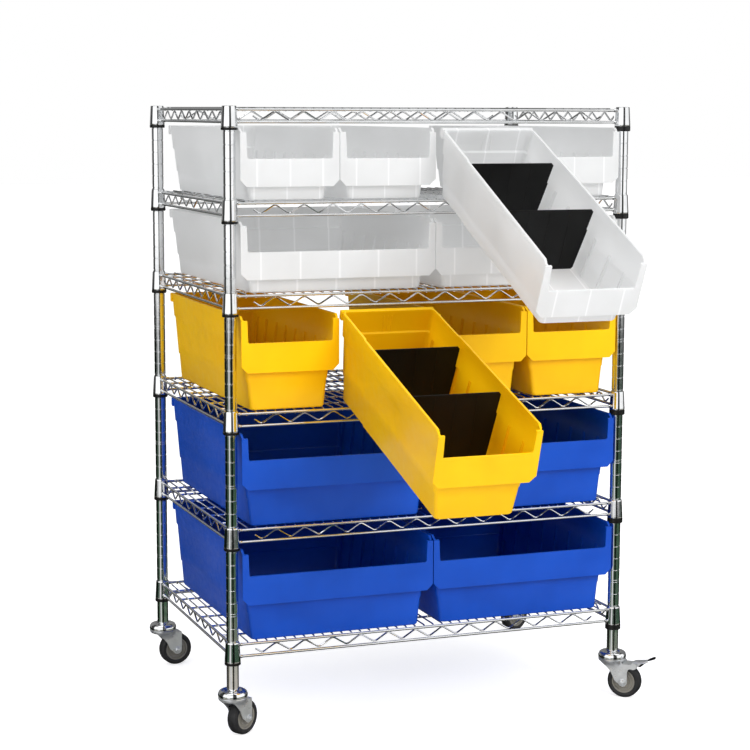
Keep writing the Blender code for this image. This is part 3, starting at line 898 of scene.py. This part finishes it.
def make_bins():
    meshes = {}
    for name in sorted(frame["nodes"]):
        if "_bin_" not in name:
            continue
        row, colour = name.split("_")[:2]
        width = bin_width(name)
        wide = width > WIDE_BIN
        kind = (SIZE_OF_ROW[row], colour, wide)
        if kind not in meshes:
            meshes[kind] = bin_mesh(width, SIZE_OF_ROW[row], colour == "clear")
        finish, slot = FINISHES[colour]
        if finish is CLEAR and wide:
            finish = CLEAR_WIDE
        add_piece(f"{name}_shell", meshes[kind], finish, name, slot, [name], bin_place(name),
                  crease=32.0, bevel=0.0006)


def divider_mesh(width, size):
    """A loose cross divider: tapered plate with shoulders, upright ribs and a thickened top edge."""
    height = BIN_SIZES[size][0]
    low, high = WALL + 0.0006, height - 0.010
    shoulder = height - UPPER_STEP - 0.004
    clear = 0.0012

    def half(level):
        return bin_half(width, height, level) - WALL - REAR_NOTCH - clear

    outline = [
        (-half(low) + 0.003, low), (half(low) - 0.003, low), (half(low + 0.004), low + 0.004),
        (half(shoulder), shoulder), (half(shoulder) - 0.0022, shoulder + 0.0022),
        (half(high) - 0.0045, high - 0.005), (half(high) - 0.0090, high),
    ]
    outline += [(-x, z) for x, z in reversed(outline[2:])]
    shape = bmesh.new()
    thick = DIVIDER_THICKNESS / 2
    add_slab(shape, outline, 1, -thick, thick)
    top = half(high) - 0.010
    proud = thick + 0.0006
    add_box(shape, (-top, -proud, high - 0.0030), (top, proud, high - 0.0002))
    for x in (-top * 0.5, 0.0, top * 0.5):
        add_box(shape, (x - 0.0009, -proud, low + 0.008), (x + 0.0009, proud, high - 0.0029))
    return to_mesh("cross_divider", shape)


def make_dividers():
    for row, (bin_name, places) in DIVIDERS.items():
        mesh = divider_mesh(bin_width(bin_name), SIZE_OF_ROW[row[:4]])
        for order, from_rear in enumerate(places):
            node = f"{row}_{order + 1}"
            place = bin_place(bin_name) @ Matrix.Translation((0.0, BIN_LENGTH - from_rear, 0.0))
            add_piece(f"{node}_plate", mesh, BLACK, node, "black_plastic", [node], place, bevel=0.0004)


# ======== casters
def race_mesh():
    """Domed upper race with a rolled ring around the foot of the post, and the visible bit of stem."""
    foot = POST_LOW.z
    gap = RACE_GAP + 0.0004
    rim, stem = RACE_RADIUS, 0.0105
    profile = [(0.0, gap), (rim - 0.0012, gap), (rim, gap + 0.0012), (rim + 0.0002, gap + 0.0045)]
    crest_radius, crest_middle = 0.0225, foot + 0.0012 - 0.0068
    for step in range(9):
        turn = math.radians(10 + 150 * step / 8)
        profile.append((crest_radius + 0.0078 * math.cos(turn), crest_middle + 0.0068 * math.sin(turn)))
    profile += [(0.0140, foot - 0.0016), (0.0118, foot - 0.0014), (stem, foot), (stem, foot + 0.03)]
    return turned_mesh("upper_race", profile + [(0.0, foot + 0.03)], 32)


def fork_columns(braked):
    """Upright lines of one half of the fork, from the nose round to the rear edge of the leg.

    Each is (x and y at the dish, x and y further down, top, bottom)."""
    dish, dish_top = RACE_RADIUS - 0.0010, 0.0850
    columns = []
    for degrees, low_x, low_y, bottom in (
        (0, -0.0285, 0.0, 0.0838), (28, -0.0240, 0.0125, 0.0826), (52, -0.0160, 0.0166, 0.0775),
        (76, -0.0060, 0.0172, 0.0680), (96, 0.0035, 0.0170, 0.0570),
    ):
        turn = math.radians(degrees)
        columns.append((-dish * math.cos(turn), dish * math.sin(turn), low_x, low_y, dish_top, bottom))
    for x, bottom in ((0.0115, 0.0400), (0.0160, 0.0362), (0.0205, 0.0330), (0.0246, 0.0284)):
        at_dish = max(LEG_HALF, math.sqrt(dish * dish - x * x))
        columns.append((x, at_dish, x, LEG_HALF, dish_top, bottom))
    rear = [
        (0.0300, FORK_TOP, 0.0270), (0.0355, FORK_TOP, 0.0286), (0.0392, FORK_TOP, 0.0325),
        (0.0403, FORK_TOP, 0.0372),
    ]
    if braked:
        rear += [
            (0.0404, FORK_TOP, 0.0610), (0.0425, FORK_TOP, 0.0662), (0.0465, 0.0788, 0.0688),
            (0.0500, 0.0802, 0.0684), (0.0545, 0.0830, 0.0676), (0.0595, 0.0818, 0.0698),
            (0.0622, 0.0790, 0.0745),
        ]
    return columns + [(x, LEG_HALF, x, LEG_HALF, top, bottom) for x, top, bottom in rear]


def fork_mesh(braked):
    """Pressed fork: a saddle that drops from the dish, open in front, and runs into two flat legs."""
    shape = bmesh.new()
    rows = 9
    for side in (-1, 1):
        lines = []
        for dish_x, dish_y, low_x, low_y, top, bottom in fork_columns(braked):
            line = []
            for row in range(rows):
                drop = (top - bottom) * row / (rows - 1)
                hold = max(0.0, 1 - drop / 0.018) ** 2
                x, y = low_x + (dish_x - low_x) * hold, low_y + (dish_y - low_y) * hold
                line.append(shape.verts.new((x, side * y, top - drop)))
            lines.append(line)
        skin(shape, lines, around=False)
    bmesh.ops.remove_doubles(shape, verts=shape.verts, dist=1e-6)
    return to_mesh("fork_sheet", shape)


def thickened(mesh, thickness):
    """A sheet given thickness to both sides of its surface."""
    guide = new_object("guide", mesh)
    solid = guide.modifiers.new("sheet", "SOLIDIFY")
    solid.thickness = thickness
    solid.offset = 0.0
    result = bpy.data.meshes.new_from_object(guide.evaluated_get(bpy.context.evaluated_depsgraph_get()))
    bpy.data.objects.remove(guide, do_unlink=True)
    return result


def fork_top_mesh(braked):
    """Lower race dish and the top plate, longer where a pedal is held."""
    shape = bmesh.new()
    rim, gap = RACE_RADIUS, RACE_GAP - 0.0004
    add_turned(shape, [
        (0.0, FORK_TOP), (rim - 0.0065, FORK_TOP), (rim - 0.0030, FORK_TOP + 0.0014),
        (rim - 0.0008, FORK_TOP + 0.0042), (rim, RACE_GAP - 0.0018), (rim - 0.0008, gap), (0.0, gap),
    ], 32)
    rear = 0.0600 if braked else 0.0420
    side = [(-0.004, LEG_HALF), (rear - 0.003, LEG_HALF), (rear, LEG_HALF - 0.003)]
    outline = [(x, -y) for x, y in side] + side[::-1]
    add_slab(shape, outline, 2, FORK_TOP - 0.0024, FORK_TOP - 0.0002)
    return to_mesh("fork_top", shape)


def nut_mesh():
    """The wheel bolt along Y, with washer, hexagon and bolt end on both sides."""
    shape = bmesh.new()
    face = LEG_INNER + SHEET + 0.0004
    across = Matrix.Rotation(math.pi / 2, 4, "X")
    back = Matrix.Rotation(-math.pi / 2, 4, "X")
    shaft = [(0.0, -face - 0.0002), (0.0040, -face), (0.0040, face), (0.0, face + 0.0002)]
    add_turned(shape, shaft, 16, across)
    washer = [(0.0076, -0.0001), (0.0080, 0.0003), (0.0080, 0.0009), (0.0074, 0.0013)]
    hexagon = [(0.0066, 0.0012), (0.0067, 0.0040), (0.0058, 0.0048)]
    bolt_end = [(0.0040, 0.0047), (0.0038, 0.0056), (0.0030, 0.0060)]
    for place in (back, across):
        for sides, outside in ((24, washer), (6, hexagon), (16, bolt_end)):
            profile = [(0.0, outside[0][1]), *outside, (0.0, outside[-1][1])]
            add_turned(shape, [(radius, face + height) for radius, height in profile], sides, place)
    return to_mesh("wheel_nut", shape)


def mirrored_profile(side, other):
    """A wheel's half section from one side, closed with the points of other mirrored to the far side."""
    return side + [(radius, -height) for radius, height in reversed(other)]


def core_mesh():
    """Wheel core: boss, dished web with a ring step, and the rim that the tread sits on."""
    half = 0.0105
    side = [
        (0.0046, -0.0145), (0.0085, -0.0145), (0.0095, -0.0138), (0.0102, -half + 0.0032),
        (0.0150, -half + 0.0030), (0.0158, -half + 0.0016), (0.0172, -half + 0.0016),
        (0.0180, -half + 0.0032), (0.0225, -half + 0.0030), (0.0236, -half - 0.0002),
        (HUB_RADIUS, -half - 0.0004),
    ]
    return turned_mesh("wheel_core", mirrored_profile(side, side), 40, Matrix.Rotation(math.pi / 2, 4, "X"))


def tread_mesh():
    """Tread with a wide rounded running face and a thin moulding line around its middle."""
    inner, face = HUB_RADIUS + 0.0001, -TYRE_HALF
    side = [(inner, face + 0.0016), (inner + 0.0018, face + 0.0004), (inner + 0.0040, face)]
    shoulder = 0.0062
    for step in range(6):
        turn = math.radians(180 + 80 * step / 5)
        out, along = shoulder * math.sin(turn), shoulder * math.cos(turn)
        side.append((WHEEL_RADIUS - shoulder - out, face + shoulder + along))
    side += [(WHEEL_RADIUS - 0.0002, -0.0040), (WHEEL_RADIUS - 0.0001, -0.0006), (WHEEL_RADIUS, 0.0)]
    profile = mirrored_profile(side, side[:-1])
    return turned_mesh("wheel_tread", profile, 56, Matrix.Rotation(math.pi / 2, 4, "X"))


def pedal_plate_mesh():
    """Brake lever about its pin: a bent plate with turned-down edges and two cheeks beside the pin."""
    edge, lip, sheet = 0.0022, 0.0025, 0.0016
    stations = (
        (-0.0050, 0.0078, -0.0015), (0.0040, 0.0098, 0.0), (0.0180, 0.0112, 0.0006),
        (0.0270, 0.0132, -0.0010), (0.0310, 0.0152, -0.0045),
    )
    shape = bmesh.new()
    rings = []
    for x, z, wider in stations:
        wide = PEDAL_HALF + wider
        low, narrow = z - sheet, wide - 0.0010
        rings.append([shape.verts.new((x, y, level)) for y, level in (
            (-wide, z - edge), (-wide + lip, z), (wide - lip, z), (wide, z - edge),
            (narrow, low - edge), (narrow - lip, low), (-narrow + lip, low), (-narrow, low - edge),
        )])
    add_loft(shape, rings)
    cheek = [
        (-0.0045, -0.0040), (0.0045, -0.0045), (0.0110, 0.0015), (0.0190, 0.0090), (0.0180, 0.0110),
        (-0.0045, 0.0080),
    ]
    for side in (-1, 1):
        y = side * (PEDAL_HALF - 0.0016)
        add_slab(shape, cheek, 1, y - 0.0008, y + 0.0008)
    return to_mesh("pedal_plate", shape)


def pedal_grip_mesh():
    """The black grip that is pushed over the end of the pedal plate."""
    stations = (
        (0.0300, 0.0150, 0.0078, 0.0016), (0.0330, 0.0162, 0.0086, 0.0022),
        (0.0390, 0.0188, 0.0088, 0.0026), (0.0430, 0.0205, 0.0078, 0.0028),
        (0.0452, 0.0214, 0.0050, 0.0020),
    )
    turns = [unit(2 * math.pi * step / 14) for step in range(14)]
    shape = bmesh.new()
    rings = []
    for x, z, wide, thick in stations:
        rings.append([
            shape.verts.new((x - 0.35 * up * thick, wide * out, z + thick * up)) for out, up, _ in turns
        ])
    add_loft(shape, rings)
    return to_mesh("pedal_grip", shape)


def brake_pad_mesh():
    """The black brake pad under the pedal plate."""
    outline = [
        (0.0060, 0.0040), (0.0105, -0.0010), (0.0150, -0.0005), (0.0230, 0.0068), (0.0250, 0.0118),
        (0.0100, 0.0092),
    ]
    half = PEDAL_HALF - 0.0030
    return slab_mesh("brake_pad", outline, 1, -half, half)


def make_casters():
    race, nut, core, tread = race_mesh(), nut_mesh(), core_mesh(), tread_mesh()
    plate, grip, pad = pedal_plate_mesh(), pedal_grip_mesh(), brake_pad_mesh()
    for corner in CORNERS:
        swivel, wheel, pedal = f"swivel_{corner}", f"wheel_{corner}", f"pedal_{corner}"
        spin = JOINTS[f"{wheel}_spin"]
        post = POSTS[corner]
        heading = math.atan2(-spin["axis"][0], spin["axis"][1])
        trail = math.hypot(spin["pos_m"][0] - post.x, spin["pos_m"][1] - post.y)
        braked = f"brake_pedal_{corner}" in frame["nodes"]
        foot = Matrix.Translation((post.x, post.y, 0.0))
        turned = foot @ Matrix.Rotation(heading, 4, "Z")
        axle = turned @ Matrix.Translation((trail, 0.0, WHEEL_RADIUS))
        sheet = thickened(fork_mesh(braked), SHEET)
        head = fork_top_mesh(braked)
        rows = [
            ("upper_race", race, CHROME, ROOT, "chrome_wire", "caster_stem", foot, {}),
            ("fork_legs", sheet, ZINC, swivel, "zinc_steel", "caster_fork", turned,
             {"crease": 30.0, "bevel": 0.0004}),
            ("fork_head", head, ZINC, swivel, "zinc_steel", "", turned, {}),
            ("wheel_nut", nut, ZINC, swivel, "zinc_steel", "wheel_bolt", axle, {}),
            ("wheel_core", core, CORE, wheel, "hub_plastic", "wheel_hub", axle, {}),
            ("wheel_tread", tread, TREAD, wheel, "tyre_rubber", "wheel_tyre", axle, {}),
        ]
        if braked:
            pin = Vector(JOINTS[f"{pedal}_lift"]["pos_m"])
            at_pin = Matrix.Translation(pin) @ Matrix.Rotation(heading, 4, "Z")
            rows += [
                ("pedal_plate", plate, ZINC, pedal, "zinc_steel", "brake_pedal", at_pin, {"bevel": 0.0003}),
                ("pedal_grip", grip, BLACK, pedal, "black_plastic", "brake_pedal_tip", at_pin, {}),
                ("brake_pad", pad, BLACK, pedal, "black_plastic", "", at_pin, {"bevel": 0.0006}),
            ]
        for name, mesh, finish, body, slot, node, place, edges in rows:
            stands_for = [f"{node}_{corner}"] if node else []
            add_piece(f"{name}_{corner}", mesh, finish, body, slot, stands_for, place, **edges)


# ======== stage, light and camera
def make_stage():
    """The pale floor, which glows a little for the camera only, so that it meets the white around it."""
    bpy.ops.mesh.primitive_plane_add(size=60.0, location=(0.0, 0.0, 0.0))
    floor = bpy.context.object
    floor.name = "pale_floor"
    made, tree, shader = new_material("pale_floor")
    ray = add_node(tree, "ShaderNodeLightPath", {})
    seen = {0: ray.outputs["Is Camera Ray"], 1: FLOOR_GLOW}
    glow = add_node(tree, "ShaderNodeMath", seen, operation="MULTIPLY")
    feed(tree, shader, {
        "Base Color": ramp(tree, noise(tree, 0.8, detail=2.0), greys([(0.3, 0.86), (0.7, 0.88)])),
        "Roughness": 0.7,
        "Emission Color": (1.0, 1.0, 1.0, 1.0),
        "Emission Strength": glow.outputs["Value"],
    })
    floor.data.materials.append(made)
    floor.visible_glossy = False


def add_area(name, location, aim, size, power):
    """A soft square lamp aimed at a point, left out of reflections."""
    data = bpy.data.lights.new(name, "AREA")
    data.energy = power
    data.size = size
    light = new_object(name, data)
    light.location = location
    light.visible_glossy = False
    light.rotation_euler = (Vector(aim) - Vector(location)).to_track_quat("-Z", "Y").to_euler()


def blend(tree, kind, first, second):
    values = {"Factor": 1.0, "A": first, "B": second}
    return add_node(tree, "ShaderNodeMix", values, data_type="RGBA", blend_type=kind).outputs["Result"]


def studio_surround(tree):
    """What shiny surfaces mirror: a bright front, a dark left side, narrow dark gaps and a dim floor."""
    direction = coordinates(tree, "Generated")
    turn = math.radians(CAMERA_YAW)
    parts = []
    for axis in ((math.cos(turn), -math.sin(turn), 0.0), (-math.sin(turn), -math.cos(turn), 0.0)):
        dot = add_node(tree, "ShaderNodeVectorMath", {0: direction, 1: axis}, operation="DOT_PRODUCT")
        parts.append(dot.outputs["Value"])
    angle = add_node(tree, "ShaderNodeMath", {0: parts[0], 1: parts[1]}, operation="ARCTAN2")
    whole = {"Value": angle.outputs["Value"], "From Min": -math.pi, "From Max": math.pi}
    share = add_node(tree, "ShaderNodeMapRange", whole).outputs["Result"]
    around = ramp(tree, share, greys([
        (0.00, 0.22), (0.17, 0.24), (0.19, 0.04), (0.283, 0.04), (0.298, 1.2), (0.506, 1.2), (0.520, 0.05),
        (0.588, 0.05), (0.604, 1.1), (0.79, 1.0), (0.81, 0.15), (1.00, 0.20),
    ]))
    streak = ramp(tree, share, greys([(0.37, 0.0), (0.40, 0.65), (0.44, 0.75), (0.465, 0.0)]))
    split = add_node(tree, "ShaderNodeSeparateXYZ", {"Vector": direction})
    height = add_node(tree, "ShaderNodeMapRange", {"Value": split.outputs["Z"], "From Min": -1.0})
    ground, far_edge = (0.52, 0.48, 0.43), (0.05, 0.10, 0.06)
    upward = ramp(tree, height.outputs["Result"], [
        (0.00, (0.10, 0.10, 0.10)), (0.25, (0.14, 0.14, 0.13)), (0.32, ground), (0.358, ground),
        (0.372, far_edge), (0.42, (0.04, 0.075, 0.05)), (0.448, (0.10, 0.10, 0.10)),
        *greys([(0.458, 1.0), (0.80, 1.0), (0.84, 0.15), (0.88, 0.15), (0.91, 1.4), (1.00, 1.4)]),
    ])
    return blend(tree, "LIGHTEN", blend(tree, "MULTIPLY", around, upward), streak)


def make_world():
    """White behind the cart, soft light from all around, and the studio surround in reflections."""
    world = bpy.data.worlds.new("studio")
    bpy.context.scene.world = world
    world.use_nodes = True
    tree = world.node_tree
    seen = tree.nodes["Background"]
    feed(tree, seen, {"Color": (1.0, 1.0, 1.0, 1.0), "Strength": 1.0})
    lit = add_node(tree, "ShaderNodeBackground", {"Strength": AMBIENT})
    mirrored = add_node(tree, "ShaderNodeBackground", {"Strength": 1.0, "Color": studio_surround(tree)})
    ray = add_node(tree, "ShaderNodeLightPath", {}).outputs
    light = lit.outputs["Background"]
    for kind, shader in (("Is Glossy Ray", mirrored), ("Is Camera Ray", seen)):
        mix = {0: ray[kind], 1: light, 2: shader.outputs["Background"]}
        light = add_node(tree, "ShaderNodeMixShader", mix).outputs["Shader"]
    feed(tree, tree.nodes["World Output"], {"Surface": light})


def make_light():
    middle_of_cart = (0.0, 0.1, 0.7)
    add_area("key", (1.0, -4.2, 2.6), middle_of_cart, 2.0, KEY)
    add_area("top", (-0.4, -0.8, 4.0), middle_of_cart, 2.4, TOP)
    add_area("side", (-4.0, -1.0, 1.8), middle_of_cart, 2.4, SIDE)


def make_camera():
    data = bpy.data.cameras.new("camera")
    data.sensor_width = 36.0
    data.lens = CAMERA_LENS
    camera = new_object("camera", data)
    camera.location = CAMERA_FROM_MIDDLE + Vector((MIDDLE_X, MIDDLE_Y, 0.0))
    turn = Matrix.Rotation(math.radians(-CAMERA_YAW), 4, "Z")
    nod = Matrix.Rotation(math.radians(90 + CAMERA_PITCH), 4, "X")
    roll = Matrix.Rotation(math.radians(CAMERA_ROLL), 4, "Z")
    camera.rotation_euler = (turn @ nod @ roll).to_euler()
    bpy.context.scene.camera = camera
    bpy.context.scene.view_settings.view_transform = "Standard"


make_posts()
make_shelves()
make_bins()
make_dividers()
make_casters()
make_stage()
make_world()
make_light()
make_camera()
